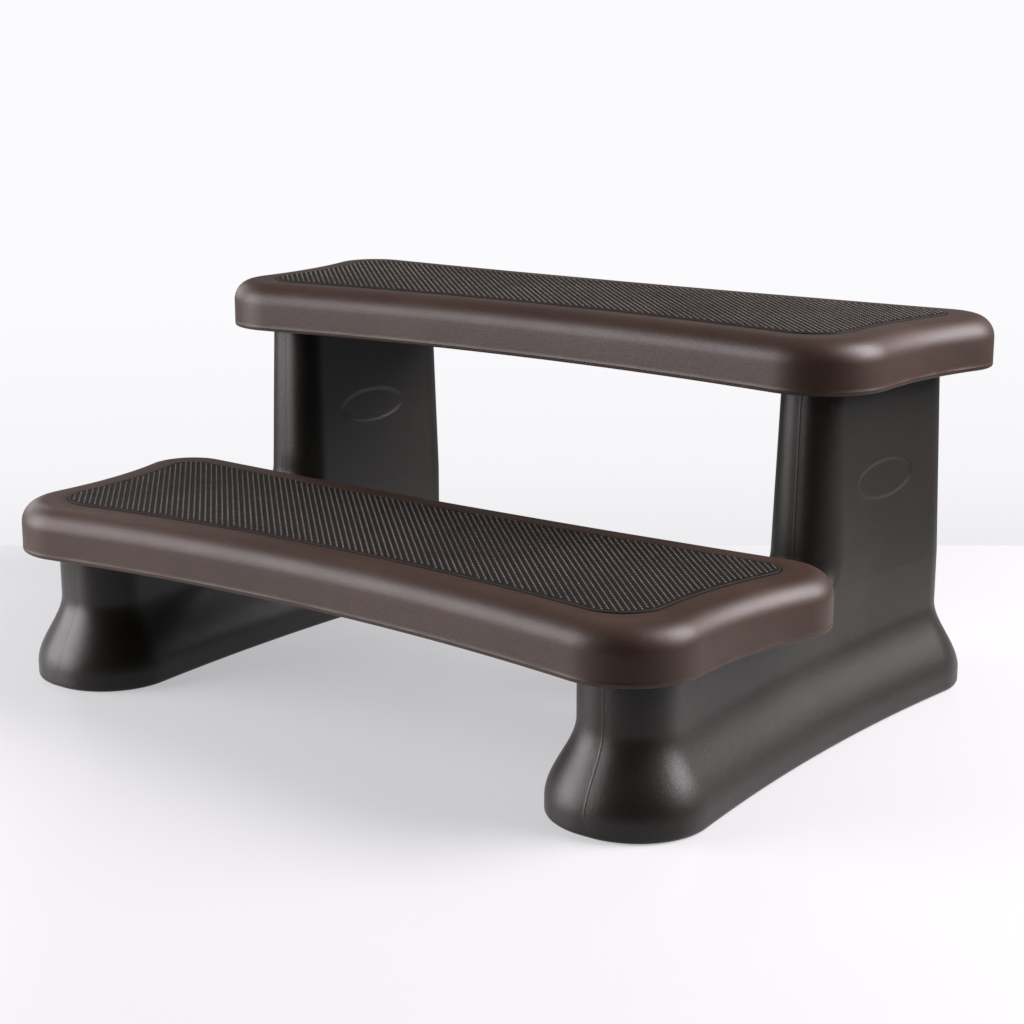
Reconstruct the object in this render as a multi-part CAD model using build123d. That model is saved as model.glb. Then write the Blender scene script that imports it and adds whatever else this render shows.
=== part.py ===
from build123d import *
import os
from math import sqrt

# Two-tread spa steps, in millimetres. +X is the width, +Y points from the lower tread to the
# upper one, +Z is up. The origin is on the floor, under the middle of the whole object.

# Heights
tread_thickness = 54.0
lower_seat_z = 149.0      # top of the low part of a riser, where the lower tread rests
upper_seat_z = 357.0      # top of the tall part of a riser, where the upper tread rests

# Places along the depth
lower_tread_y = -176.62
tread_pitch_y = 340.0     # from one tread's centre to the next
upper_tread_y = lower_tread_y + tread_pitch_y
riser_y = lower_tread_y + 183.6
riser_x = 351.5           # middle of a riser, either side

# Tread outline: four inward-bowed sides between corners that are then rounded
tread_front_half = 447.5
tread_back_half = 492.5
tread_front_reach = 177.6
tread_back_reach = 172.2
tread_front_bow = 48.0
tread_back_bow = 17.7
tread_end_bow = 36.5
tread_front_corner = 75.7
tread_back_corner = 61.8
tread_shoulder = 24.0     # rounding between the top and the skirt
tread_foot_edge = 2.0     # rounding along the bottom of the skirt
tread_wall = 3.5
tread_cavity_top = 46.5   # underside of the top wall, above the tread's bottom

# Mat, its bonding sheet and the recess they lie in
mat_front_half = 389.0
mat_back_half = 419.5
mat_front_reach = 124.0
mat_back_reach = 124.9
mat_front_bow = 35.0
mat_back_bow = 15.0
mat_end_bow = 16.6
mat_front_corner = 46.2
mat_back_corner = 28.0
mat_recess_depth = 2.2
mat_recess_gap = 0.8      # between the mat's edge and the recess wall
adhesive_thickness = 0.3
mat_thickness = 3.9

# Riser outline at the floor
riser_front_half = 89.0
riser_back_half = 95.0
riser_reach = 328.3
riser_side_bow = 23.0
riser_corner = 74.5
riser_wall = 4.0
riser_bottom_edge = 5.0
riser_boss_depth = 20.0
riser_boss_radius = 14.0

# The riser's foot: an upright band, then an S-curve in to the upright slab
foot_band_height = 16.5
foot_flare_height = 93.0
foot_flare_inset = 29.4
foot_sections = 7

# The tall part of the riser
column_front_y = 40.0     # its front face at the slab's height, from the riser's middle
column_draft = 0.033      # how far each face leans in, per millimetre of height
column_front_corner = 36.0
column_sweep = 34.0       # radius of the hollow curve from the low part up into the front face
column_sweep_sections = 7
column_step = 0.15        # how far the tall part's sides stand inside the low part's

# Fasteners: M8 screws through the treads into inserts in the risers
screw_radius = 4.0
screw_length = 19.0
screw_head_radius = 8.0
screw_head_height = 4.5
screw_socket_width = 5.0
screw_socket_depth = 2.6
washer_radius = 12.0
washer_thickness = 2.0
screw_clearance = 0.5
pocket_radius = 15.0
pocket_wall = 3.5
pocket_floor = 6.0
insert_radius = 7.5
insert_length = 14.0
insert_bore_gap = 0.1
lower_screw_offsets = (-85.0, 65.0)   # from the lower tread's centre, along the depth
upper_screw_offsets = (-65.0, 85.0)   # from the upper tread's centre

# Kiss-off cones that tie the tread's bottom wall to its top wall
cone_mouth_radius = 21.0
cone_tip_radius = 11.0
cone_columns = (-225.0, -135.0, -45.0, 45.0, 135.0, 225.0)
cone_rows = (-55.0, 75.0)

# Plugs that close the blow holes, from underneath
plug_flange_radius = 12.0
plug_flange_thickness = 2.0
plug_shank_radius = 8.0
plug_shank_length = 7.0
plug_recess_depth = 2.6
plug_recess_gap = 0.5
plug_shank_gap = 0.15
riser_plug_offsets = (-190.0, 210.0)
tread_plug_columns = (-90.0, 90.0)
tread_plug_row = 10.0


def side(start, end, bow):
    """One side of an outline: straight, or an arc bowed to the left of its direction."""
    if bow == 0:
        return Line(start, end)
    a, b = Vector(*start), Vector(*end)
    along = (b - a).normalized()
    middle = (a + b) * 0.5 + Vector(-along.Y, along.X) * bow
    return ThreePointArc(a, middle, b)


def bowed_face(front_half, back_half, y_front, y_back, bows, corners):
    """A face with its front at low Y. bows: front, end and back. corners: front and back."""
    front_bow, end_bow, back_bow = bows
    a, b = (-front_half, y_front), (front_half, y_front)
    c, d = (back_half, y_back), (-back_half, y_back)
    edges = side(a, b, front_bow) + side(b, c, end_bow) + side(c, d, back_bow) + side(d, a, end_bow)
    face = make_face(edges)
    face = fillet(face.vertices().group_by(Axis.Y)[0], corners[0])
    return fillet(face.vertices().group_by(Axis.Y)[-1], corners[1])


def tread_face(inset):
    return bowed_face(
        tread_front_half - inset,
        tread_back_half - inset,
        inset - tread_front_reach,
        tread_back_reach - inset,
        (tread_front_bow, tread_end_bow, tread_back_bow),
        (tread_front_corner - inset, tread_back_corner - inset),
    )


def mat_face(grow):
    return bowed_face(
        mat_front_half + grow,
        mat_back_half + grow,
        -mat_front_reach - grow,
        mat_back_reach + grow,
        (mat_front_bow, mat_end_bow, mat_back_bow),
        (mat_front_corner + grow, mat_back_corner + grow),
    )


def riser_face(inset):
    return bowed_face(
        riser_front_half - inset,
        riser_back_half - inset,
        inset - riser_reach,
        riser_reach - inset,
        (0, riser_side_bow, 0),
        (riser_corner - inset, riser_corner - inset),
    )


def slab_half_width(y, inset):
    """Half the riser's width at depth y: the waisted side is close to a parabola."""
    share = y / riser_reach
    middle = (riser_front_half + riser_back_half) / 2
    lean = (riser_back_half - riser_front_half) / 2 * share
    return middle + lean - riser_side_bow * (1 - share**2) - inset


def column_face(front_y, inset):
    """The tall part's outline: the riser's outline behind front_y, with round front corners."""
    half = slab_half_width(front_y, inset)
    corner = min(column_front_corner, half - 1.0)
    back_y = riser_reach - inset
    back_half = riser_back_half - inset
    middle_y = (front_y + back_y) / 2
    bow = (half + back_half) / 2 - slab_half_width(middle_y, inset)
    return bowed_face(half, back_half, front_y, back_y, (0, bow, 0), (corner, riser_corner - inset))


def flare_inset(z):
    share = (z - foot_band_height) / (foot_flare_height - foot_band_height)
    return foot_flare_inset * (3 * share**2 - 2 * share**3)


def stacked(faces_at):
    """A smooth solid through faces, each given with its height."""
    return loft([Pos(0, 0, z) * face for z, face in faces_at])


def steps(low, high, count):
    return [low + (high - low) * i / (count - 1) for i in range(count)]


def riser_body(offset):
    """The riser's closed shape, moved inwards by offset."""
    band = extrude(Pos(0, 0, offset) * riser_face(offset), foot_band_height - offset)
    if offset == 0:
        band = fillet(band.edges().group_by(Axis.Z)[0], riser_bottom_edge)
    heights = steps(foot_band_height, foot_flare_height, foot_sections)
    flare = stacked([(z, riser_face(offset + flare_inset(z))) for z in heights])
    slab_inset = offset + foot_flare_inset
    slab_top = lower_seat_z - offset
    slab = extrude(Pos(0, 0, foot_flare_height) * riser_face(slab_inset), slab_top - foot_flare_height)
    column_inset = slab_inset + column_step
    sweep = column_sweep + offset
    sweep_top = lower_seat_z + column_sweep
    sections = []
    for share in steps(0.0, 1.0, column_sweep_sections):
        z = sweep_top - sweep * (1 - share) ** 1.5
        fall = sweep_top - z
        front = column_front_y + offset - sweep + sqrt(sweep**2 - fall**2)
        draft = column_draft * max(z - lower_seat_z, 0.0)
        sections.append((z, column_face(front + draft, column_inset + draft)))
    curve = stacked(sections)
    low_draft = column_draft * column_sweep
    high_draft = column_draft * (upper_seat_z - lower_seat_z)
    front = column_front_y + offset
    column = stacked([
        (sweep_top, column_face(front + low_draft, column_inset + low_draft)),
        (upper_seat_z - offset, column_face(front + high_draft, column_inset + high_draft)),
    ])
    return band + flare + slab + curve + column


def riser_screw_places():
    """(y, z) of each insert's mouth, from the riser's middle."""
    low = [(lower_tread_y + y - riser_y, lower_seat_z) for y in lower_screw_offsets]
    high = [(upper_tread_y + y - riser_y, upper_seat_z) for y in upper_screw_offsets]
    return low + high


def upright_cylinder(radius, z_low, z_high):
    return extrude(Pos(0, 0, z_low) * Circle(radius), z_high - z_low)


def riser_shell():
    shell = riser_body(0) - riser_body(riser_wall)
    for y, z in riser_screw_places():
        boss = upright_cylinder(riser_boss_radius, z - riser_boss_depth, z - riser_wall / 2)
        socket = upright_cylinder(insert_radius, z - insert_length - insert_bore_gap, z)
        shell = shell + Pos(0, y, 0) * boss - Pos(0, y, 0) * socket
    for y in riser_plug_offsets:
        shell = shell - Pos(0, y, 0) * plug_hole(riser_wall)
    return shell


def insert():
    """A threaded insert, its mouth at the origin."""
    return upright_cylinder(insert_radius, -insert_length, 0) - upright_cylinder(
        screw_radius + insert_bore_gap, -insert_length, 0
    )


def plug_hole(wall):
    recess = upright_cylinder(plug_flange_radius + plug_recess_gap, 0, plug_recess_depth)
    return recess + upright_cylinder(plug_shank_radius + plug_shank_gap, 0, wall)


def plug():
    """A blow-hole plug whose flange lies in its recess."""
    top = plug_recess_depth
    flange = upright_cylinder(plug_flange_radius, top - plug_flange_thickness, top)
    flange = chamfer(flange.edges().group_by(Axis.Z)[0], 0.5)
    return flange + upright_cylinder(plug_shank_radius, top, top + plug_shank_length)


def kiss_off(grow):
    """A cone from the tread's bottom wall up to its top wall, thickened by grow."""
    tip_z = tread_cavity_top - tread_wall / 2 + grow
    return loft([
        Circle(cone_mouth_radius + grow),
        Pos(0, 0, tip_z) * Circle(cone_tip_radius + grow),
    ])


def tread_screw_places(offsets):
    return [(x, y) for x in (-riser_x, riser_x) for y in offsets]


def tread_shell(screw_offsets):
    """A hollow tread with its bottom at z 0 and its own centre at the origin."""
    outer = extrude(tread_face(0), tread_thickness)
    outer = fillet(outer.edges().group_by(Axis.Z)[-1], tread_shoulder)
    outer = fillet(outer.edges().group_by(Axis.Z)[0], tread_foot_edge)
    cavity = extrude(Pos(0, 0, tread_wall) * tread_face(tread_wall), tread_cavity_top - tread_wall)
    cavity = fillet(cavity.edges().group_by(Axis.Z)[-1], tread_shoulder - tread_wall)
    for x, y in tread_screw_places(screw_offsets):
        cavity = cavity - Pos(x, y, 0) * upright_cylinder(pocket_radius + pocket_wall, 0, tread_thickness)
        cavity = cavity - Pos(x, y, 0) * upright_cylinder(cone_mouth_radius, 0, pocket_floor)
    cone_places = [(x, y) for x in cone_columns for y in cone_rows]
    for x, y in cone_places:
        cavity = cavity - Pos(x, y, 0) * kiss_off(tread_wall)
    shell = outer - cavity
    recess_z = tread_thickness - mat_recess_depth
    shell = shell - extrude(Pos(0, 0, recess_z) * mat_face(mat_recess_gap), tread_thickness)
    for x, y in tread_screw_places(screw_offsets):
        shell = shell - Pos(x, y, 0) * upright_cylinder(pocket_radius, pocket_floor, tread_thickness)
        shell = shell - Pos(x, y, 0) * upright_cylinder(screw_radius + screw_clearance, 0, pocket_floor)
    for x, y in cone_places:
        shell = shell - Pos(x, y, 0) * kiss_off(0)
    for x in tread_plug_columns:
        shell = shell - Pos(x, tread_plug_row, 0) * plug_hole(tread_wall)
    return shell


def washer():
    """A washer that lies on the floor of a screw pocket."""
    top = pocket_floor + washer_thickness
    ring = upright_cylinder(washer_radius, pocket_floor, top)
    return ring - upright_cylinder(screw_radius + screw_clearance, pocket_floor, top)


def screw():
    """A screw with its head on the washer and its tip down in the insert."""
    seat = pocket_floor + washer_thickness
    head = upright_cylinder(screw_head_radius, seat, seat + screw_head_height)
    head = fillet(head.edges().group_by(Axis.Z)[-1], 2.0)
    shank = upright_cylinder(screw_radius, seat - screw_length, seat)
    shank = chamfer(shank.edges().group_by(Axis.Z)[0], 0.8)
    socket_face = RegularPolygon(screw_socket_width / sqrt(3), 6)
    socket = extrude(Pos(0, 0, seat + screw_head_height) * socket_face, -screw_socket_depth)
    return head + shank - socket


def mat_plate():
    base = tread_thickness - mat_recess_depth + adhesive_thickness
    plate = extrude(Pos(0, 0, base) * mat_face(0), mat_thickness)
    return fillet(plate.edges().group_by(Axis.Z)[-1], 1.0)


def adhesive_sheet(screw_offsets):
    """The bonding sheet, holed over the screw pockets."""
    base = tread_thickness - mat_recess_depth
    sheet = extrude(Pos(0, 0, base) * mat_face(-2.0), adhesive_thickness)
    for x, y in tread_screw_places(screw_offsets):
        sheet = sheet - Pos(x, y, 0) * upright_cylinder(pocket_radius + 1.0, base, tread_thickness)
    return sheet


def placed(solids):
    """One node made of separate solids."""
    return Compound(children=[solid for solid in solids])


def riser_nodes(side_name, x):
    at = Pos(x, riser_y, 0)
    return {
        side_name + "_riser": at * riser_shell(),
        side_name + "_riser_inserts": placed(at * Pos(0, y, z) * insert() for y, z in riser_screw_places()),
        side_name + "_riser_plugs": placed(at * Pos(0, y, 0) * plug() for y in riser_plug_offsets),
    }


def tread_nodes(level, y, seat_z, screw_offsets):
    at = Pos(0, y, seat_z)
    places = tread_screw_places(screw_offsets)
    plug_places = [(x, tread_plug_row) for x in tread_plug_columns]
    return {
        level + "_tread": at * tread_shell(screw_offsets),
        level + "_tread_washers": placed(at * Pos(px, py, 0) * washer() for px, py in places),
        level + "_tread_screws": placed(at * Pos(px, py, 0) * screw() for px, py in places),
        level + "_tread_plugs": placed(at * Pos(px, py, 0) * plug() for px, py in plug_places),
        level + "_mat_adhesive": at * adhesive_sheet(screw_offsets),
        level + "_mat": at * mat_plate(),
    }


def all_nodes():
    nodes = {}
    nodes.update(riser_nodes("left", -riser_x))
    nodes.update(riser_nodes("right", riser_x))
    nodes.update(tread_nodes("lower", lower_tread_y, lower_seat_z, lower_screw_offsets))
    nodes.update(tread_nodes("upper", upper_tread_y, upper_seat_z, upper_screw_offsets))
    return nodes


os.makedirs("parts", exist_ok=True)
for node_name, shape in all_nodes().items():
    export_step(shape, "parts/" + node_name + ".step")
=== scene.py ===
"""Spa steps: the looks of two waisted treads with studded mats on two hollow moulded risers.

Lengths in the outline and profile functions are in millimetres, in each piece's own frame. Everything
is scaled to metres and moved to where the CAD node is when its mesh is made.
"""
import math

import bmesh
import bpy
import numpy as np
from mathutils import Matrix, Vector, noise


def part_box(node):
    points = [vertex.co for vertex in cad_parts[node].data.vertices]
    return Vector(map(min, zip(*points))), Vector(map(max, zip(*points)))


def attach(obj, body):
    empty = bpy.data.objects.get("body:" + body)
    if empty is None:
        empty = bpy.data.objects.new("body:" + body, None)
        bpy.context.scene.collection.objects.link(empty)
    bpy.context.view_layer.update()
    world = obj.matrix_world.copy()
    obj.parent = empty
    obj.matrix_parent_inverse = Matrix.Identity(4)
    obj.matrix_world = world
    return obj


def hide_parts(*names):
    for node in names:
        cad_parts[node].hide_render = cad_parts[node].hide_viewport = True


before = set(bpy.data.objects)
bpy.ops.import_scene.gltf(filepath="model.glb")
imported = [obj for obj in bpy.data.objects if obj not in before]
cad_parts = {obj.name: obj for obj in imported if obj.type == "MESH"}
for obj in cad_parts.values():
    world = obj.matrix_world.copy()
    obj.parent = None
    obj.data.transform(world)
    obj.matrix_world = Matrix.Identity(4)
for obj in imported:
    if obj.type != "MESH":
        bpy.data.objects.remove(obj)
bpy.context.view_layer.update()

MM = 0.001
BODY = "root"
FOOT_FADE = 8.0                             # a wall's unevenness dies out over this, at its foot

# Camera
CAMERA_AZIMUTH = 36.92
CAMERA_ELEVATION = 13.75
CAMERA_DISTANCE = 2.1623
CAMERA_AIM = (0.0525, -0.0296, 0.1935)
CAMERA_LENS = 70.85
CAMERA_SENSOR = 36.0
CAMERA_SHIFT_Y = 0.0068

# Studio floor: from the middle of the object towards the camera, away from it and to either side
FLOOR_NEAR = 0.92
FLOOR_FAR = 0.58
FLOOR_HALF_WIDTH = 1.0
FLOOR_DROP = Vector((0.0, 0.0, 0.0002))     # keeps the floor off the feet' flat undersides
FLOOR_TONES = [(0.3, (0.256, 0.260, 0.262)), (0.7, (0.266, 0.270, 0.272))]
FLOOR_GLOW_TINT = (0.97, 0.97, 1.0, 1.0)
FLOOR_GLOW = 0.46

# Studio walls: what the camera sees by height, and what lights the object by direction
WALL_HEIGHTS = (-0.26, 0.04)
# the wall seen by the camera is darker towards the floor: painted shade at its foot
WALL_TONES = [(0.0, (0.82, 0.815, 0.84)), (0.16, (0.92, 0.915, 0.94)), (0.42, (0.965, 0.96, 0.985))]
ROOM_TONES = [(0.45, (0.25, 0.25, 0.26)), (0.80, (0.035, 0.035, 0.035))]

# Studio soft boxes, on spheres round a point above the floor
LIGHT_TINT = (1.0, 0.935, 0.965)
LIGHT_AIM_HEIGHT = 0.2
LIGHTS = {
    "front_left_box": {
        "azimuth": -49.0, "elevation": 16.0, "distance": 2.8, "size": (2.1, 1.9), "power": 138.0,
    },
    "left_box": {
        "azimuth": -98.0, "elevation": 16.0, "distance": 2.6, "size": (1.3, 1.0), "power": 12.0,
    },
    "right_box": {
        "azimuth": 119.0, "elevation": 35.0, "distance": 2.6, "size": (1.6, 1.7), "power": 180.0,
    },
}

# Tread, the same numbers as the CAD part
TREAD_OUTLINE = {
    "halves": (447.5, 492.5),
    "reaches": (177.6, 172.2),
    "bows": (48.0, 36.5, 17.7),
    "corners": (75.7, 61.8),
}
TREAD_COUNTS = (44, 22, 40, 22, 44)         # spans in the front, front corner, end, back corner, back
TREAD_THICKNESS = 54.0
TREAD_SHOULDER = 24.0
TREAD_FOOT_EDGE = 2.0
TREAD_FOOT_ROWS = 6
TREAD_SHOULDER_ROWS = 19
TREAD_UNEVENNESS = (0.10, 0.012)            # height, and waves per millimetre
SKIRT_START = 7.5                           # the plain part of the skirt, above the parting line
SKIRT_ROWS = 6
RECESS_GAP = 0.8
RECESS_DEPTH = 2.2
RECESS_BORDER = 3.0                         # flat top inside the shoulder
CONE_RADII = (21.0, 11.0)
CONE_DEPTH = 44.0
CONE_MOUTH = ((1.2, 0.0), (0.35, 0.35), (0.0, 1.2))     # wider than the cone, height
CONE_TIP = ((1.5, 1.2), (0.0, 0.0))         # wider than the tip, below it
CONE_COLUMNS = (-225.0, -135.0, -45.0, 45.0, 135.0, 225.0)
CONE_ROWS = (-55.0, 75.0)
PLUG_RECESS = (12.5, 2.6)                   # radius and depth
PLUG_EDGE = 0.4
TREAD_PLUGS = ((-90.0, 10.0), (90.0, 10.0))

# Parting line above the tread's lower edge: heights, and shares of how proud it stands
FLASH_ROOM = 0.5                            # the wall stands in by this much, so the line stays in size
FLASH_ROWS = ((3.1, 0.0), (3.45, 0.7), (3.75, 1.0), (4.15, 0.8), (4.6, 0.0))
FLASH_MIDDLE = 0.24
FLASH_LIMITS = (0.04, 0.38)
FLASH_WAVES = ((0.20, 0.035, 0.0), (0.14, 0.4, 7.0))    # height, waves per millimetre, seed's offset

# Mat
MAT_OUTLINE = {
    "halves": (389.0, 419.5),
    "reaches": (124.0, 124.9),
    "bows": (35.0, 16.6, 15.0),
    "corners": (46.2, 28.0),
}
MAT_COUNTS = (44, 22, 40, 12, 44)
MAT_SHEET_TOP = 1.05                        # the border bead's top, above the tread's top
MAT_WELL = 0.35                             # how far the studded sheet lies below the bead
MAT_FOOT_EDGE = 0.3
# in from the mat's outline, below the bead's top
MAT_EDGE = ((0.0, 0.5), (0.15, 0.15), (0.5, 0.0), (1.6, 0.0), (2.1, MAT_WELL), (4.0, MAT_WELL))
BEAD_HIGHLIGHT = 0.12                             # painted highlight on the bead's top, against 1 at a stud's tip

# Mat studs: a square lattice turned by 45 degrees
STUD_PITCH = 8.4                            # along the width, from one stud to the next in its row
STUD_MARGIN = 5.0
STUD_HEIGHT = 1.25
STUD_UNEVENNESS = (0.06, 0.05)              # height, and waves per millimetre
STUD_BASE_RADIUS = 1.55
STUD_TOP_RADIUS = 1.0
STUD_CROWN = 0.4                            # slope at the tip, as deep as it is wide
STUD_SUNK = 0.3
STUD_SIDES = 6
STUD_HIGHLIGHTS = (0.0, 0.2, 1.0)                 # painted highlight on the foot, the crown's edge and the tip

# Riser
RISER_OUTLINE = {
    "halves": (89.0, 95.0),
    "reaches": (328.3, 328.3),
    "bows": (0.02, 23.0, 0.02),
    "corners": (74.5, 74.5),
}
RISER_BOTTOM_EDGE = 5.0
RISER_PLUGS = (-190.0, 210.0)
RISER_UNEVENNESS = (0.15, 0.010)
RISER_WELD = 0.02
BAND_HEIGHT = 16.5
FLARE_HEIGHT = 93.0
FLARE_INSET = 29.4
LOW_TOP = 149.0
LOW_TOP_EDGE = 4.0
LOW_TOP_FADE = 40.0                         # the top's rounded edge dies out over this, at the tall part
LOW_TOP_ROWS = 6
HIGH_TOP = 357.0
HIGH_TOP_EDGE = ((0.3, 1.2), (1.0, 1.8), (2.0, 2.0))    # inset, and height above the last row
COLUMN_FRONT = 40.0
COLUMN_DRAFT = 0.033
COLUMN_CORNER = 36.0
COLUMN_SWEEP = 34.0
COLUMN_ROWS = 84
PARTING_RIDGE = 0.16
RIDGE_PROFILE = ((0.0, 1.0), (0.45, 0.7), (0.95, 0.0))  # from the middle line, share of the ridge
DISH_MIDDLE = (155.0, 250.0)                # a plain oval in the tall part's sides: along y, height
DISH_HALVES = (56.0, 21.0)
DISH_DEPTH = 1.1
DISH_EDGE = 0.16                            # share of the oval that its sloping edge takes
SIDE_FACING = 0.7                           # least sideways part of a normal on the riser's sides

# Spans in each stretch of a riser's ring
FRONT_LINE = 5
FRONT_CORNER = 26
SIDE_FRONT = 34
SIDE_BACK = 120
BACK_CORNER = 24
BACK_LINE = 6

# Rows in each stretch of a riser's height
EDGE_ROWS = 7
BAND_ROWS = 4
FLARE_ROWS = 30
SLAB_ROWS = 7
SWEEP_ROWS = 19


# ---------------------------------------------------------------- outlines

def eased(share):
    """A smooth step from 0 to 1."""
    share = np.clip(share, 0, 1)
    return share**2 * (3 - 2 * share)


def quarter_turn(count):
    return np.radians(np.linspace(0, 90, count))


def side_circle(start, end, bow):
    """Centre and radius of the circle of a side that bows inwards, to the left of start to end."""
    start, end = np.array(start), np.array(end)
    half = np.linalg.norm(end - start) / 2
    along = (end - start) / (2 * half)
    inward = np.array([-along[1], along[0]])
    radius = (half**2 + bow**2) / (2 * bow)
    return (start + end) / 2 + inward * (bow - radius), radius


def meeting(centre_a, radius_a, centre_b, radius_b, near):
    """The crossing of two circles that lies nearest to a point."""
    gap = np.linalg.norm(centre_b - centre_a)
    along = (radius_a**2 - radius_b**2 + gap**2) / (2 * gap)
    across = math.sqrt(max(radius_a**2 - along**2, 0.0))
    unit = (centre_b - centre_a) / gap
    normal = np.array([-unit[1], unit[0]])
    crossings = [centre_a + unit * along + normal * across * s for s in (1, -1)]
    return min(crossings, key=lambda p: np.linalg.norm(p - near))


def toward(centre, radius, point):
    """The point on a circle in the direction of another point."""
    return centre + (point - centre) * radius / np.linalg.norm(point - centre)


def arc(centre, radius, start, end, count):
    """count + 1 points from start to end, and the unit vectors away from the centre."""
    first = math.atan2(*(start - centre)[::-1])
    last = math.atan2(*(end - centre)[::-1])
    turn = (last - first + math.pi) % (2 * math.pi) - math.pi
    angles = first + turn * np.linspace(0, 1, count + 1)
    away = np.c_[np.cos(angles), np.sin(angles)]
    return centre + radius * away, away


def half_outline(halves, reaches, bows, corners, counts, grow=0.0):
    """Half of a waisted outline, from its front middle to its back middle, with outward normals.

    counts are the spans in the front side, front corner, end, back corner and back side.
    """
    front_left, front_right = (-halves[0], -reaches[0]), (halves[0], -reaches[0])
    back_right, back_left = (halves[1], reaches[1]), (-halves[1], reaches[1])
    front = side_circle(front_left, front_right, bows[0])
    end = side_circle(front_right, back_right, bows[1])
    back = side_circle(back_right, back_left, bows[2])
    inner_front = np.array([halves[0] - corners[0], corners[0] - reaches[0]])
    inner_back = np.array([halves[1] - corners[1], reaches[1] - corners[1]])
    centre_f = meeting(front[0], front[1] + corners[0], end[0], end[1] + corners[0], inner_front)
    centre_b = meeting(end[0], end[1] + corners[1], back[0], back[1] + corners[1], inner_back)
    spans = (
        (front, np.array([0.0, front[0][1] + front[1]]), toward(*front, centre_f), -1),
        ((centre_f, corners[0]), toward(*front, centre_f), toward(*end, centre_f), 1),
        (end, toward(*end, centre_f), toward(*end, centre_b), -1),
        ((centre_b, corners[1]), toward(*end, centre_b), toward(*back, centre_b), 1),
        (back, toward(*back, centre_b), np.array([0.0, back[0][1] - back[1]]), -1),
    )
    pieces = []
    for (circle, start, stop, sign), count in zip(spans, counts):
        points, away = arc(*circle, start, stop, count)
        keep = slice(1, None) if pieces else slice(0, None)
        pieces.append((points[keep], sign * away[keep]))
    points = np.vstack([p for p, _ in pieces])
    normals = np.vstack([n for _, n in pieces])
    return points + normals * grow, normals


def mirrored(half):
    """A closed ring from a half ring whose first and last points are on the middle line."""
    other = half[-2:0:-1] * np.array([-1.0, 1.0])
    return np.vstack([half, other])


def closed_outline(outline, counts, grow=0.0):
    points, normals = half_outline(**outline, counts=counts, grow=grow)
    return mirrored(points), mirrored(normals)


# ---------------------------------------------------------------- mesh building

class Skin:
    """Collects rows of points, the faces between them, and flat caps, in millimetres."""

    def __init__(self):
        self.points = []
        self.faces = []

    def row(self, ring, z):
        """Adds a ring. z is one height, or one for each point. Gives its indices."""
        heights = np.broadcast_to(np.asarray(z, float), (len(ring),))
        first = len(self.points)
        self.points.extend(np.c_[ring, heights])
        return list(range(first, len(self.points)))

    def span(self, lower, upper, closed=True):
        count = len(lower)
        for i in range(count if closed else count - 1):
            j = (i + 1) % count
            self.faces.append((lower[i], lower[j], upper[j], upper[i]))

    def rings(self, rings, closed=True):
        """Skins a list of (ring, z) and gives the first and last rows."""
        rows = [self.row(ring, z) for ring, z in rings]
        for lower, upper in zip(rows, rows[1:]):
            self.span(lower, upper, closed)
        return rows[0], rows[-1]

    def mesh(self, name, offset, caps=(), weld=0.0):
        """A mesh in metres. caps are lists of loops, each list filled as one flat face with holes."""
        bm = bmesh.new()
        shift = Vector(offset)
        verts = [bm.verts.new(Vector(p) * MM + shift) for p in self.points]
        for face in self.faces:
            bm.faces.new([verts[i] for i in face])
        for loops in caps:
            edges = []
            for loop in loops:
                for a, b in zip(loop, loop[1:] + loop[:1]):
                    edge = bm.edges.get((verts[a], verts[b]))
                    edges.append(edge or bm.edges.new((verts[a], verts[b])))
            bmesh.ops.triangle_fill(bm, use_beauty=True, use_dissolve=False, edges=edges)
        if weld:
            bmesh.ops.remove_doubles(bm, verts=bm.verts[:], dist=weld * MM)
        bmesh.ops.recalc_face_normals(bm, faces=bm.faces[:])
        mesh = bpy.data.meshes.new(name)
        bm.to_mesh(mesh)
        bm.free()
        return mesh


def circle_ring(x, y, radius, count=40, turn=0.0):
    angles = turn + np.linspace(0, 2 * math.pi, count, endpoint=False)
    return np.c_[x + radius * np.cos(angles), y + radius * np.sin(angles)]


def pit(skin, x, y, profile):
    """A round pit whose profile is a list of (radius, z). Gives the loop at its mouth."""
    mouth, floor = skin.rings([(circle_ring(x, y, radius), z) for radius, z in profile])
    centre = skin.row(np.array([[x, y]]), profile[-1][1])[0]
    for a, b in zip(floor, floor[1:] + floor[:1]):
        skin.faces.append((a, b, centre))
    return mouth


def plug_recess(skin, x, y):
    """The shallow round recess that a plug's flange lies in."""
    radius, depth = PLUG_RECESS
    return pit(skin, x, y, [(radius + PLUG_EDGE, 0.0), (radius, PLUG_EDGE), (radius, depth)])


def soften(mesh, unevenness, seed):
    """The slight unevenness of a blow-moulded wall, along each point's normal and above its foot."""
    height, scale = unevenness
    count = len(mesh.vertices)
    points, normals = np.empty(count * 3), np.empty(count * 3)
    mesh.vertices.foreach_get("co", points)
    mesh.vertex_normals.foreach_get("vector", normals)
    points, normals = points.reshape(-1, 3), normals.reshape(-1, 3)
    offset = Vector((seed * 3.7, 0, 0))
    waves = np.array([noise.noise(Vector(p) * (scale / MM) + offset) for p in points])
    above = np.clip((points[:, 2] - points[:, 2].min()) / (FOOT_FADE * MM), 0, 1)
    points += normals * (waves * above * height * MM)[:, None]
    mesh.vertices.foreach_set("co", points.ravel())
    mesh.update()


def place(name, mesh, material, node, sharp=35.0):
    """Makes the object of a piece that stands for a CAD node."""
    mesh.shade_smooth()
    mesh.set_sharp_from_angle(angle=math.radians(sharp))
    piece = bpy.data.objects.new(name, mesh)
    bpy.context.scene.collection.objects.link(piece)
    mesh.materials.append(material)
    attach(piece, BODY)
    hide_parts(node)
    return piece


# ---------------------------------------------------------------- treads

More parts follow.
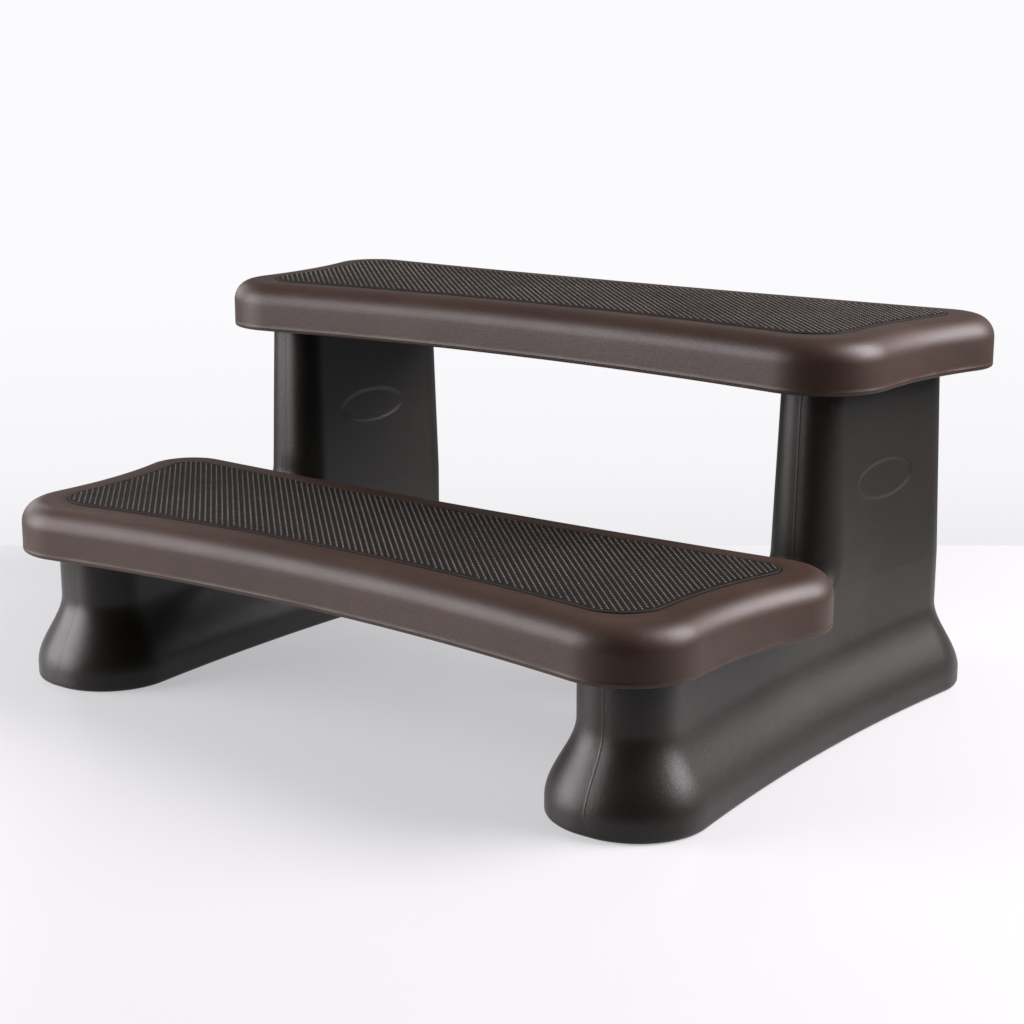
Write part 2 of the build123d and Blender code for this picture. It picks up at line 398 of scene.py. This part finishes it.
def tread_profile():
    """(inset, z) of the edge underneath, heights up the skirt, and (inset, z) of the shoulder."""
    edge, shoulder = TREAD_FOOT_EDGE, TREAD_SHOULDER
    skirt_top = TREAD_THICKNESS - shoulder
    foot_rows = [
        (edge * (1 - math.sin(a)), edge * (1 - math.cos(a))) for a in quarter_turn(TREAD_FOOT_ROWS)
    ]
    skirt_rows = np.linspace(SKIRT_START, skirt_top, SKIRT_ROWS)[:-1]
    shoulder_rows = [
        (shoulder * (1 - math.cos(a)), skirt_top + shoulder * math.sin(a))
        for a in quarter_turn(TREAD_SHOULDER_ROWS)
    ]
    return foot_rows, skirt_rows, shoulder_rows


def flash_ridge(ring, normals, seed):
    """Rows of the thin trimmed parting line just above the skirt's lower edge."""
    proud = FLASH_MIDDLE
    for height, scale, offset in FLASH_WAVES:
        start = Vector((seed + offset, 0, 0))
        proud = proud + height * np.array([noise.noise(Vector((*p, 0)) * scale + start) for p in ring])
    proud = np.clip(proud, *FLASH_LIMITS)[:, None]
    return [(ring + normals * proud * share, z) for z, share in FLASH_ROWS]


def recess_rows():
    """Rows from the lip of the mat's recess down its wall and in along its floor."""
    ring, normals = closed_outline(MAT_OUTLINE, TREAD_COUNTS, grow=RECESS_GAP)
    profile = (
        (0.7, 0.0),
        (0.2, 0.2),
        (0.0, 0.7),
        (0.0, RECESS_DEPTH - 0.3),
        (-0.3, RECESS_DEPTH),
        (-6.0, RECESS_DEPTH),
    )
    return [(ring + normals * grow, TREAD_THICKNESS - depth) for grow, depth in profile]


def tread_rows(seed):
    """Rows from the edge underneath, over the shoulder and into the mat's recess."""
    ring, normals = closed_outline(TREAD_OUTLINE, TREAD_COUNTS, grow=-FLASH_ROOM)
    foot, skirt, shoulder = tread_profile()
    recess = recess_rows()
    inner, lip = ring - normals * (TREAD_SHOULDER + RECESS_BORDER), recess[0][0]
    rows = [(ring - normals * inset, z) for inset, z in foot]
    rows += flash_ridge(ring, normals, seed)
    rows += [(ring, z) for z in skirt]
    rows += [(ring - normals * inset, z) for inset, z in shoulder]
    rows += [(inner, TREAD_THICKNESS), ((inner + lip) / 2, TREAD_THICKNESS)]
    return rows + recess


def kiss_off_cone(skin, x, y):
    """A cone pressed up from the underside, with a rounded mouth and tip."""
    wide, narrow = CONE_RADII
    profile = [(wide + grow, z) for grow, z in CONE_MOUTH]
    profile += [(narrow + grow, CONE_DEPTH - drop) for grow, drop in CONE_TIP]
    return pit(skin, x, y, profile)


def make_tread(level, seed, material):
    node = level + "_tread"
    low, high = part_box(node)
    # the outline is drawn about its own origin, which the node's furthest Y places
    outer, _ = closed_outline(TREAD_OUTLINE, TREAD_COUNTS)
    centre_y = high[1] - outer[:, 1].max() * MM
    skin = Skin()
    under, floor = skin.rings(tread_rows(seed))
    mouths = [kiss_off_cone(skin, x, y) for x in CONE_COLUMNS for y in CONE_ROWS]
    mouths += [plug_recess(skin, x, y) for x, y in TREAD_PLUGS]
    mesh = skin.mesh(node + "_skin", (0, centre_y, low[2]), caps=[[under] + mouths, [floor]])
    soften(mesh, TREAD_UNEVENNESS, seed)
    return place(node + "_skin", mesh, material, node)


# ---------------------------------------------------------------- mats

def inside_outline(ring, x, y):
    """Whether a point lies inside a closed ring."""
    x1, y1 = ring[:, 0], ring[:, 1]
    x2, y2 = np.roll(x1, -1), np.roll(y1, -1)
    crosses = (y1 > y) != (y2 > y)
    with np.errstate(divide="ignore", invalid="ignore"):
        at = x1 + (y - y1) * (x2 - x1) / (y2 - y1)
    return bool(np.count_nonzero(crosses & (x < at)) % 2)


def stud_places():
    """The lattice points that lie inside the mat's smooth rim."""
    ring, _ = closed_outline(MAT_OUTLINE, MAT_COUNTS, grow=-STUD_MARGIN)
    half = STUD_PITCH / 2
    places = []
    rows = int(ring[:, 1].max() / half) + 2
    columns = int(ring[:, 0].max() / STUD_PITCH) + 2
    for j in range(-rows, rows + 1):
        for i in range(-columns, columns + 1):
            x, y = i * STUD_PITCH + (j % 2) * half, j * half
            if inside_outline(ring, x, y):
                places.append((x, y))
    return places


def add_stud(skin, x, y, z, height, tips):
    """A small tapered stud, closed, its foot sunk a little in the sheet."""
    unit = circle_ring(0, 0, 1.0, STUD_SIDES, turn=math.pi / STUD_SIDES)
    levels = (
        (STUD_BASE_RADIUS, z - STUD_SUNK),
        (STUD_TOP_RADIUS, z + height - STUD_CROWN),
        (STUD_TOP_RADIUS - STUD_CROWN, z + height),
    )
    rows = [skin.row(unit * radius + (x, y), level) for radius, level in levels]
    skin.span(rows[0], rows[1])
    skin.span(rows[1], rows[2])
    skin.faces.append(tuple(reversed(rows[0])))
    skin.faces.append(tuple(rows[2]))
    # each ring's share of the painted highlight on the studs' tips
    for tip in STUD_HIGHLIGHTS:
        tips.extend([tip] * STUD_SIDES)


def make_mat(level, seed, material):
    node = level + "_mat"
    low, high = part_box(node)
    _, tread_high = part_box(level + "_tread")
    ring, normals = closed_outline(MAT_OUTLINE, MAT_COUNTS)
    centre_y = high[1] - ring[:, 1].max() * MM
    bottom = (low[2] - tread_high[2]) / MM
    sheet = MAT_SHEET_TOP - MAT_WELL
    skin = Skin()
    rows = [(ring - normals * MAT_FOOT_EDGE, bottom), (ring, bottom + MAT_FOOT_EDGE)]
    rows += [(ring - normals * inset, MAT_SHEET_TOP - drop) for inset, drop in MAT_EDGE]
    under, inner = skin.rings(rows)
    # the bead's top rows get a little painted highlight, the rest gets none
    row_tips = [0.0, 0.0] + [0.0 if drop else BEAD_HIGHLIGHT for _, drop in MAT_EDGE]
    tips = [tip for tip in row_tips for _ in ring]
    tallest = (high[2] - tread_high[2]) / MM - sheet
    spread, scale = STUD_UNEVENNESS
    for x, y in stud_places():
        wave = noise.noise(Vector((x, y, seed * 11.0)) * scale)
        add_stud(skin, x, y, sheet, min(STUD_HEIGHT + spread * wave, tallest), tips)
    mesh = skin.mesh(node + "_skin", (0, centre_y, tread_high[2]), caps=[[under], [inner]])
    mesh.attributes.new("tip", "FLOAT", "POINT").data.foreach_set("value", tips)
    return place(node + "_skin", mesh, material, node, sharp=50.0)


# ---------------------------------------------------------------- risers

def riser_side():
    """Centre and radius of the circle that the riser's waisted side follows at the floor."""
    halves, reach = RISER_OUTLINE["halves"], RISER_OUTLINE["reaches"][0]
    return side_circle((halves[0], -reach), (halves[1], reach), RISER_OUTLINE["bows"][1])


def corner_centre(side, inset, front_y, radius):
    """Centre of the rounding between the side and a straight front."""
    reach = side[1] + inset + radius
    y = front_y + radius
    x = side[0][0] - math.sqrt(reach**2 - (y - side[0][1]) ** 2)
    return np.array([x, y])


def back_corner(side):
    """Centre of the rounding at the back; it stays put as the outline moves in."""
    radius = RISER_OUTLINE["corners"][1]
    reach = side[1] + radius
    y = RISER_OUTLINE["reaches"][1] - radius
    x = side[0][0] - math.sqrt(reach**2 - (y - side[0][1]) ** 2)
    return np.array([x, y])


def flare_inset(z):
    return float(FLARE_INSET * eased((z - BAND_HEIGHT) / (FLARE_HEIGHT - BAND_HEIGHT)))


def ridged_line(end_x, y, count, outward):
    """A straight run from the middle line outwards, with the parting ridge at its start."""
    # a narrow front leaves less room beside the ridge
    first = 1.6 if end_x > 2.5 else 1.2
    xs = [x for x, _ in RIDGE_PROFILE] + list(np.linspace(first, end_x, count - 2))
    shares = [share for _, share in RIDGE_PROFILE] + [0.0] * (count - 2)
    ys = y + outward * PARTING_RIDGE * np.array(shares)
    ys = np.clip(ys, -RISER_OUTLINE["reaches"][0], RISER_OUTLINE["reaches"][1])
    return np.c_[xs, ys]


def back_part(side, inset, start):
    """Points after start along the side, round the back corner and to the middle of the back."""
    radius = RISER_OUTLINE["corners"][1] - inset
    centre = back_corner(side)
    circle = (side[0], side[1] + inset)
    tangent = toward(*circle, centre)
    along, _ = arc(*circle, start, tangent, SIDE_BACK)
    back_y = centre[1] + radius
    round_, _ = arc(centre, radius, tangent, np.array([centre[0], back_y]), BACK_CORNER)
    line = ridged_line(centre[0], back_y, BACK_LINE, 1)[::-1]
    return np.vstack([along[1:], round_[1:], line[1:]])


def front_part(side, inset, split):
    """Points of a full ring from the middle of the front to the split point on the side."""
    outer = RISER_OUTLINE["corners"][0]
    radius = outer - inset
    centre = corner_centre(side, 0.0, -RISER_OUTLINE["reaches"][0], outer)
    front_y = centre[1] - radius
    line = ridged_line(centre[0], front_y, FRONT_LINE, -1)
    circle = (side[0], side[1] + inset)
    tangent = toward(*circle, centre)
    round_, _ = arc(centre, radius, np.array([centre[0], front_y]), tangent, FRONT_CORNER)
    along, _ = arc(*circle, tangent, toward(*circle, split), SIDE_FRONT)
    return np.vstack([line, round_[1:], along[1:]])


def column_part(side, inset, front_y, radius):
    """Points of a column ring from the middle of its front to where its side starts."""
    centre = corner_centre(side, inset, front_y, radius)
    line = ridged_line(centre[0], front_y, FRONT_LINE, -1)
    tangent = toward(side[0], side[1] + inset, centre)
    spans = FRONT_CORNER + SIDE_FRONT
    round_, _ = arc(centre, radius, np.array([centre[0], front_y]), tangent, spans)
    return np.vstack([line, round_[1:]]), tangent


def low_levels():
    """(inset, z) up the foot's edge, its band, its flare and the slab."""
    edge = RISER_BOTTOM_EDGE
    levels = [(edge * (1 - math.sin(a)), edge * (1 - math.cos(a))) for a in quarter_turn(EDGE_ROWS)]
    levels += [(0.0, z) for z in np.linspace(edge, BAND_HEIGHT, BAND_ROWS)[1:]]
    levels += [(flare_inset(z), z) for z in np.linspace(BAND_HEIGHT, FLARE_HEIGHT, FLARE_ROWS)[1:]]
    slab_heights = np.linspace(FLARE_HEIGHT, LOW_TOP - LOW_TOP_EDGE, SLAB_ROWS)[1:]
    return levels + [(FLARE_INSET, z) for z in slab_heights]


def low_rows(side, split):
    """Rows of the foot and the low slab, up to the rounded edge of its top."""
    rows = []
    for inset, z in low_levels():
        front = front_part(side, inset, split)
        back = back_part(side, inset, front[-1])
        rows.append((mirrored(np.vstack([front, back])), z))
    for angle in quarter_turn(EDGE_ROWS)[1:]:
        front = front_part(side, FLARE_INSET, split)
        pulled = front_part(side, FLARE_INSET + LOW_TOP_EDGE * (1 - math.cos(angle)), split)
        fade = eased((split[1] - front[:, 1]) / LOW_TOP_FADE)[:, None]
        front = front * (1 - fade) + pulled * fade
        front[-1] = toward(side[0], side[1] + FLARE_INSET, split)
        back = back_part(side, FLARE_INSET, front[-1])
        z = LOW_TOP - LOW_TOP_EDGE * (1 - math.sin(angle))
        rows.append((mirrored(np.vstack([front, back])), z))
    return rows


def column_rows(side):
    """Rows of the tall part, from the low part's top up the hollow curve to the upper tread."""
    levels = [
        (LOW_TOP + COLUMN_SWEEP * (1 - math.cos(a)), COLUMN_SWEEP * (math.sin(a) - 1))
        for a in quarter_turn(SWEEP_ROWS)
    ]
    last_z = HIGH_TOP - HIGH_TOP_EDGE[-1][1]
    levels += [(z, 0.0) for z in np.linspace(LOW_TOP + COLUMN_SWEEP, last_z, COLUMN_ROWS)[1:]]
    rows = []
    for z, forward in levels:
        draft = COLUMN_DRAFT * (z - LOW_TOP)
        inset = FLARE_INSET + draft
        front, tangent = column_part(side, inset, COLUMN_FRONT + draft + forward, COLUMN_CORNER - draft)
        back = back_part(side, inset, tangent)
        rows.append((mirrored(np.vstack([front, back])), z))
    last = rows[-1][0]
    away = last - last.mean(axis=0)
    inward = -away / np.linalg.norm(away, axis=1)[:, None]
    return rows + [(last + inward * inset, last_z + rise) for inset, rise in HIGH_TOP_EDGE]


def low_top(skin, outer_ring, inner_ring):
    """The flat top of the low part, between its edge and the foot of the tall part's front."""
    count = FRONT_LINE + FRONT_CORNER + SIDE_FRONT + 1
    total = len(outer_ring)
    right = list(range(count))
    left = [0] + list(range(total - 1, total - count, -1))
    shares = np.linspace(0, 1, LOW_TOP_ROWS)
    for run in (right, left):
        rings = [(outer_ring[run] * (1 - t) + inner_ring[run] * t, LOW_TOP) for t in shares]
        skin.rings(rings, closed=False)


def press_dishes(mesh, middle_y):
    """Sinks a plain shallow oval in either side of the tall part."""
    for vertex, normal in zip(mesh.vertices, [n.vector.copy() for n in mesh.vertex_normals]):
        if abs(normal.x) < SIDE_FACING:
            continue
        along = (vertex.co.y - middle_y) / MM - DISH_MIDDLE[0]
        up = vertex.co.z / MM - DISH_MIDDLE[1]
        reach = math.hypot(along / DISH_HALVES[0], up / DISH_HALVES[1])
        vertex.co -= normal * (DISH_DEPTH * MM * float(eased((1.0 - reach) / DISH_EDGE)))


def make_riser(node, seed, material):
    low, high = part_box(node)
    centre = (low + high) / 2
    side = riser_side()
    # the split is where the swept column's side starts, at the low part's top
    _, split = column_part(side, FLARE_INSET, COLUMN_FRONT - COLUMN_SWEEP, COLUMN_CORNER)
    below = low_rows(side, split)
    above = column_rows(side)
    skin = Skin()
    under, _ = skin.rings(below)
    _, roof = skin.rings(above)
    low_top(skin, below[-1][0], above[0][0])
    mouths = [plug_recess(skin, 0.0, y) for y in RISER_PLUGS]
    caps = [[under] + mouths, [roof]]
    mesh = skin.mesh(node + "_skin", (centre[0], centre[1], low[2]), caps, RISER_WELD)
    press_dishes(mesh, centre[1])
    soften(mesh, RISER_UNEVENNESS, seed)
    return place(node + "_skin", mesh, material, node)


# ---------------------------------------------------------------- node trees

def set_input(tree, socket, value):
    """Gives a socket a number, a colour, or another node's output."""
    if isinstance(value, (int, float)):
        socket.default_value = value
    elif isinstance(value, tuple):
        socket.default_value = (*value, 1.0)
    else:
        tree.links.new(value, socket)


class Tree:
    """A node tree with short ways to add to it."""

    def __init__(self, owner):
        owner.use_nodes = True
        self.tree = owner.node_tree
        self.tree.nodes.clear()

    def add(self, kind, **settings):
        node = self.tree.nodes.new(kind)
        for key, value in settings.items():
            setattr(node, key, value)
        return node

    def link(self, output, socket):
        self.tree.links.new(output, socket)

    def ramp(self, factor, stops):
        """stops are (place, grey) or (place, colour)."""
        node = self.add("ShaderNodeValToRGB")
        self.link(factor, node.inputs["Fac"])
        elements = node.color_ramp.elements
        while len(elements) < len(stops):
            elements.new(0.5)
        for element, (at, value) in zip(elements, stops):
            element.position = at
            colour = (value,) * 3 if isinstance(value, (int, float)) else tuple(value)
            element.color = (*colour, 1.0)
        return node.outputs["Color"]

    def mix(self, factor, first, second, blend="MIX"):
        node = self.add("ShaderNodeMix", data_type="RGBA", blend_type=blend)
        for socket, value in ((node.inputs[0], factor), (node.inputs[6], first), (node.inputs[7], second)):
            set_input(self.tree, socket, value)
        return node.outputs[2]

    def math(self, operation, first, second=0.0):
        node = self.add("ShaderNodeMath", operation=operation)
        set_input(self.tree, node.inputs[0], first)
        set_input(self.tree, node.inputs[1], second)
        return node.outputs[0]

    def ranged(self, value, low, high):
        """A value from low to high, as a share from 0 to 1."""
        node = self.add("ShaderNodeMapRange")
        self.link(value, node.inputs["Value"])
        node.inputs["From Min"].default_value = low
        node.inputs["From Max"].default_value = high
        return node.outputs["Result"]


class Surface(Tree):
    """A material with one principled shader."""

    def __init__(self, name):
        self.material = bpy.data.materials.new(name)
        super().__init__(self.material)
        output = self.add("ShaderNodeOutputMaterial")
        self.shader = self.add("ShaderNodeBsdfPrincipled")
        self.link(self.shader.outputs["BSDF"], output.inputs["Surface"])
        self.place = self.add("ShaderNodeTexCoord").outputs["Object"]

    def stretched(self, scale):
        node = self.add("ShaderNodeMapping")
        self.link(self.place, node.inputs["Vector"])
        node.inputs["Scale"].default_value = scale
        return node.outputs["Vector"]

    def noise(self, scale, detail=4.0, roughness=0.55, vector=None):
        node = self.add("ShaderNodeTexNoise")
        self.link(vector or self.place, node.inputs["Vector"])
        node.inputs["Scale"].default_value = scale
        node.inputs["Detail"].default_value = detail
        node.inputs["Roughness"].default_value = roughness
        return node.outputs["Fac"]

    def bump(self, layers):
        """Stacks bumps. layers are (height, strength, distance in metres)."""
        normal = None
        for height, strength, distance in layers:
            node = self.add("ShaderNodeBump")
            node.inputs["Strength"].default_value = strength
            node.inputs["Distance"].default_value = distance
            self.link(height, node.inputs["Height"])
            if normal:
                self.link(normal, node.inputs["Normal"])
            normal = node.outputs["Normal"]
        self.link(normal, self.shader.inputs["Normal"])

    def finish(self, colour, roughness, specular=0.5):
        set_input(self.tree, self.shader.inputs["Base Color"], colour)
        set_input(self.tree, self.shader.inputs["Roughness"], roughness)
        set_input(self.tree, self.shader.inputs["Specular IOR Level"], specular)
        return self.material


# ---------------------------------------------------------------- materials

def moulded_plastic(name, deep, body, pale, roughness, specular):
    """Satin blow-moulded plastic: cloudy colour, fine skin grain, flow marks and faint scuffs."""
    s = Surface(name)
    clouds = s.ramp(s.noise(5.0, 3.0), [(0.30, deep), (0.52, body), (0.80, pale)])
    mottle = s.ramp(s.noise(42.0, 5.0, 0.6), [(0.35, 0.93), (0.70, 1.07)])
    colour = s.mix(1.0, clouds, mottle, "MULTIPLY")
    flow = s.noise(7.0, 5.0, 0.7, s.stretched((0.6, 0.6, 3.5)))
    streaks = s.ramp(flow, [(0.60, 0.0), (0.78, 1.0)])
    colour = s.mix(s.math("MULTIPLY", streaks, 0.35), colour, pale)
    scratched = s.noise(60.0, 8.0, 0.75, s.stretched((1.0, 1.0, 0.25)))
    scuffs = s.ramp(scratched, [(0.66, 0.0), (0.74, 1.0)])
    colour = s.mix(s.math("MULTIPLY", scuffs, 0.28), colour, tuple(c * 2.2 for c in pale))
    rough = s.math("ADD", roughness - 0.10, s.math("MULTIPLY", s.noise(16.0, 5.0), 0.10))
    rough = s.math("ADD", rough, s.math("MULTIPLY", s.noise(420.0, 3.0), 0.10))
    rough = s.math("ADD", rough, s.math("MULTIPLY", scuffs, 0.10))
    s.bump([
        (s.noise(9.0, 2.0), 0.25, 0.0012),
        (s.noise(130.0, 4.0, 0.6), 0.40, 0.0004),
        (s.noise(700.0, 4.0, 0.65), 0.45, 0.00026),
    ])
    return s.finish(colour, rough, specular)


def mat_rubber():
    """Dark brown rubber, with a painted highlight that makes the studs' tips paler."""
    s = Surface("mat_rubber")
    body = s.ramp(s.noise(30.0, 4.0), [(0.3, (0.0035, 0.0024, 0.0019)), (0.7, (0.0065, 0.0046, 0.0036))])
    tip = s.add("ShaderNodeAttribute", attribute_name="tip").outputs["Fac"]
    # painted highlight: a pale tone on the studs' tips and the bead's top, weaker in patches
    painted_tip_highlight = s.ramp(s.noise(90.0, 5.0, 0.65), [(0.3, (0.13, 0.114, 0.097)), (0.7, (0.27, 0.24, 0.205))])
    patch = s.ramp(s.noise(8.0, 3.0), [(0.3, 0.55), (0.7, 1.0)])
    colour = s.mix(s.math("MULTIPLY", tip, patch), body, painted_tip_highlight)
    rough = s.math("ADD", 0.58, s.math("MULTIPLY", s.noise(50.0, 4.0), 0.18))
    s.bump([(s.noise(900.0, 3.0), 0.3, 0.00012)])
    return s.finish(colour, rough, 0.16)


def plain_part(name, first, second, metallic, roughness, scale):
    """A small fastener or plug: two close tones, with a fine uneven finish."""
    s = Surface(name)
    colour = s.ramp(s.noise(scale, 5.0), [(0.3, first), (0.7, second)])
    rough = s.math("ADD", roughness, s.math("MULTIPLY", s.noise(scale * 3, 4.0), 0.15))
    s.shader.inputs["Metallic"].default_value = metallic
    s.bump([(s.noise(scale * 6, 3.0), 0.2, 0.0001)])
    return s.finish(colour, rough)


def dress_fasteners():
    """Gives the CAD nodes that stay their materials."""
    zinc = plain_part("zinc_plate", (0.48, 0.49, 0.50), (0.66, 0.66, 0.64), 1.0, 0.28, 300.0)
    brass = plain_part("turned_brass", (0.55, 0.38, 0.15), (0.72, 0.53, 0.25), 1.0, 0.25, 300.0)
    plug = plain_part("plug_plastic", (0.020, 0.019, 0.018), (0.036, 0.034, 0.031), 0.0, 0.45, 120.0)
    film = plain_part("bond_film", (0.09, 0.08, 0.07), (0.13, 0.12, 0.10), 0.0, 0.5, 60.0)
    endings = {"_screws": zinc, "_washers": zinc, "_inserts": brass, "_plugs": plug, "_adhesive": film}
    for name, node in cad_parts.items():
        for ending, material in endings.items():
            if name.endswith(ending):
                node.data.materials.clear()
                node.data.materials.append(material)


# ---------------------------------------------------------------- stage, lights and camera

def direction(azimuth, elevation):
    """The unit vector from the object towards a place round it. Azimuth 0 is in front, 90 at +X."""
    a, e = math.radians(azimuth), math.radians(elevation)
    return Vector((math.sin(a) * math.cos(e), -math.cos(a) * math.cos(e), math.sin(e)))


def aimed(name, data, target, outward, distance):
    """An object that stands off a target, along a unit vector, and looks back at it."""
    thing = bpy.data.objects.new(name, data)
    thing.location = target + outward * distance
    thing.rotation_mode = "QUATERNION"
    thing.rotation_quaternion = (-outward).to_track_quat("-Z", "Y")
    bpy.context.scene.collection.objects.link(thing)
    return thing


def make_floor():
    """A lit white table top that ends just outside the view. Its own glow keeps the shadow pale."""
    near = direction(CAMERA_AZIMUTH, 0.0)
    across = Vector((-near.y, near.x, 0.0)) * FLOOR_HALF_WIDTH
    corners = [(-1, FLOOR_NEAR), (1, FLOOR_NEAR), (1, -FLOOR_FAR), (-1, -FLOOR_FAR)]
    points = [across * side + near * reach - FLOOR_DROP for side, reach in corners]
    mesh = bpy.data.meshes.new("studio_floor")
    mesh.from_pydata(points, [], [(0, 1, 2, 3)])
    s = Surface("studio_floor")
    s.shader.inputs["Emission Color"].default_value = FLOOR_GLOW_TINT
    s.shader.inputs["Emission Strength"].default_value = FLOOR_GLOW
    mesh.materials.append(s.finish(s.ramp(s.noise(0.6, 2.0), FLOOR_TONES), 0.28, 0.2))
    floor = bpy.data.objects.new("studio_floor", mesh)
    bpy.context.scene.collection.objects.link(floor)


def make_light(name, azimuth, elevation, distance, size, power):
    data = bpy.data.lights.new(name, "AREA")
    data.shape = "RECTANGLE"
    data.size, data.size_y = size
    data.energy = power
    data.color = LIGHT_TINT
    aimed(name, data, Vector((0, 0, LIGHT_AIM_HEIGHT)), direction(azimuth, elevation), distance)


def make_world():
    """White walls to the camera. Dim room light for the rest, darkest where the camera stands."""
    world = bpy.data.worlds.new("studio")
    w = Tree(world)
    ray = w.add("ShaderNodeTexCoord").outputs["Generated"]
    facing = w.add("ShaderNodeVectorMath", operation="DOT_PRODUCT")
    w.link(ray, facing.inputs[0])
    facing.inputs[1].default_value = direction(CAMERA_AZIMUTH, 0.0)
    room = w.ramp(w.ranged(facing.outputs["Value"], -1.0, 1.0), ROOM_TONES)
    height = w.add("ShaderNodeSeparateXYZ")
    w.link(ray, height.inputs[0])
    wall = w.ramp(w.ranged(height.outputs["Z"], *WALL_HEIGHTS), WALL_TONES)
    seen = w.add("ShaderNodeLightPath").outputs["Is Camera Ray"]
    background = w.add("ShaderNodeBackground")
    w.link(w.mix(seen, room, wall), background.inputs["Color"])
    output = w.add("ShaderNodeOutputWorld")
    w.link(background.outputs["Background"], output.inputs["Surface"])
    bpy.context.scene.world = world


def make_camera():
    data = bpy.data.cameras.new("camera")
    data.lens = CAMERA_LENS
    data.sensor_width = CAMERA_SENSOR
    data.shift_y = CAMERA_SHIFT_Y
    outward = direction(CAMERA_AZIMUTH, CAMERA_ELEVATION)
    bpy.context.scene.camera = aimed("camera", data, Vector(CAMERA_AIM), outward, CAMERA_DISTANCE)


# ---------------------------------------------------------------- the object

tread_plastic = moulded_plastic(
    "tread_plastic",
    deep=(0.0225, 0.0112, 0.0070),
    body=(0.0297, 0.0150, 0.0095),
    pale=(0.042, 0.0238, 0.0164),
    roughness=0.47,
    specular=0.33,
)
riser_plastic = moulded_plastic(
    "riser_plastic",
    deep=(0.0056, 0.0047, 0.0033),
    body=(0.0078, 0.0066, 0.0047),
    pale=(0.0150, 0.0129, 0.0096),
    roughness=0.40,
    specular=0.32,
)
rubber = mat_rubber()
make_riser("left_riser", 1.0, riser_plastic)
make_riser("right_riser", 2.0, riser_plastic)
make_tread("lower", 3.0, tread_plastic)
make_tread("upper", 4.0, tread_plastic)
make_mat("lower", 5.0, rubber)
make_mat("upper", 6.0, rubber)
dress_fasteners()

make_floor()
make_world()
for light_name, settings in LIGHTS.items():
    make_light(light_name, **settings)
make_camera()
bpy.context.scene.view_settings.view_transform = "Standard"
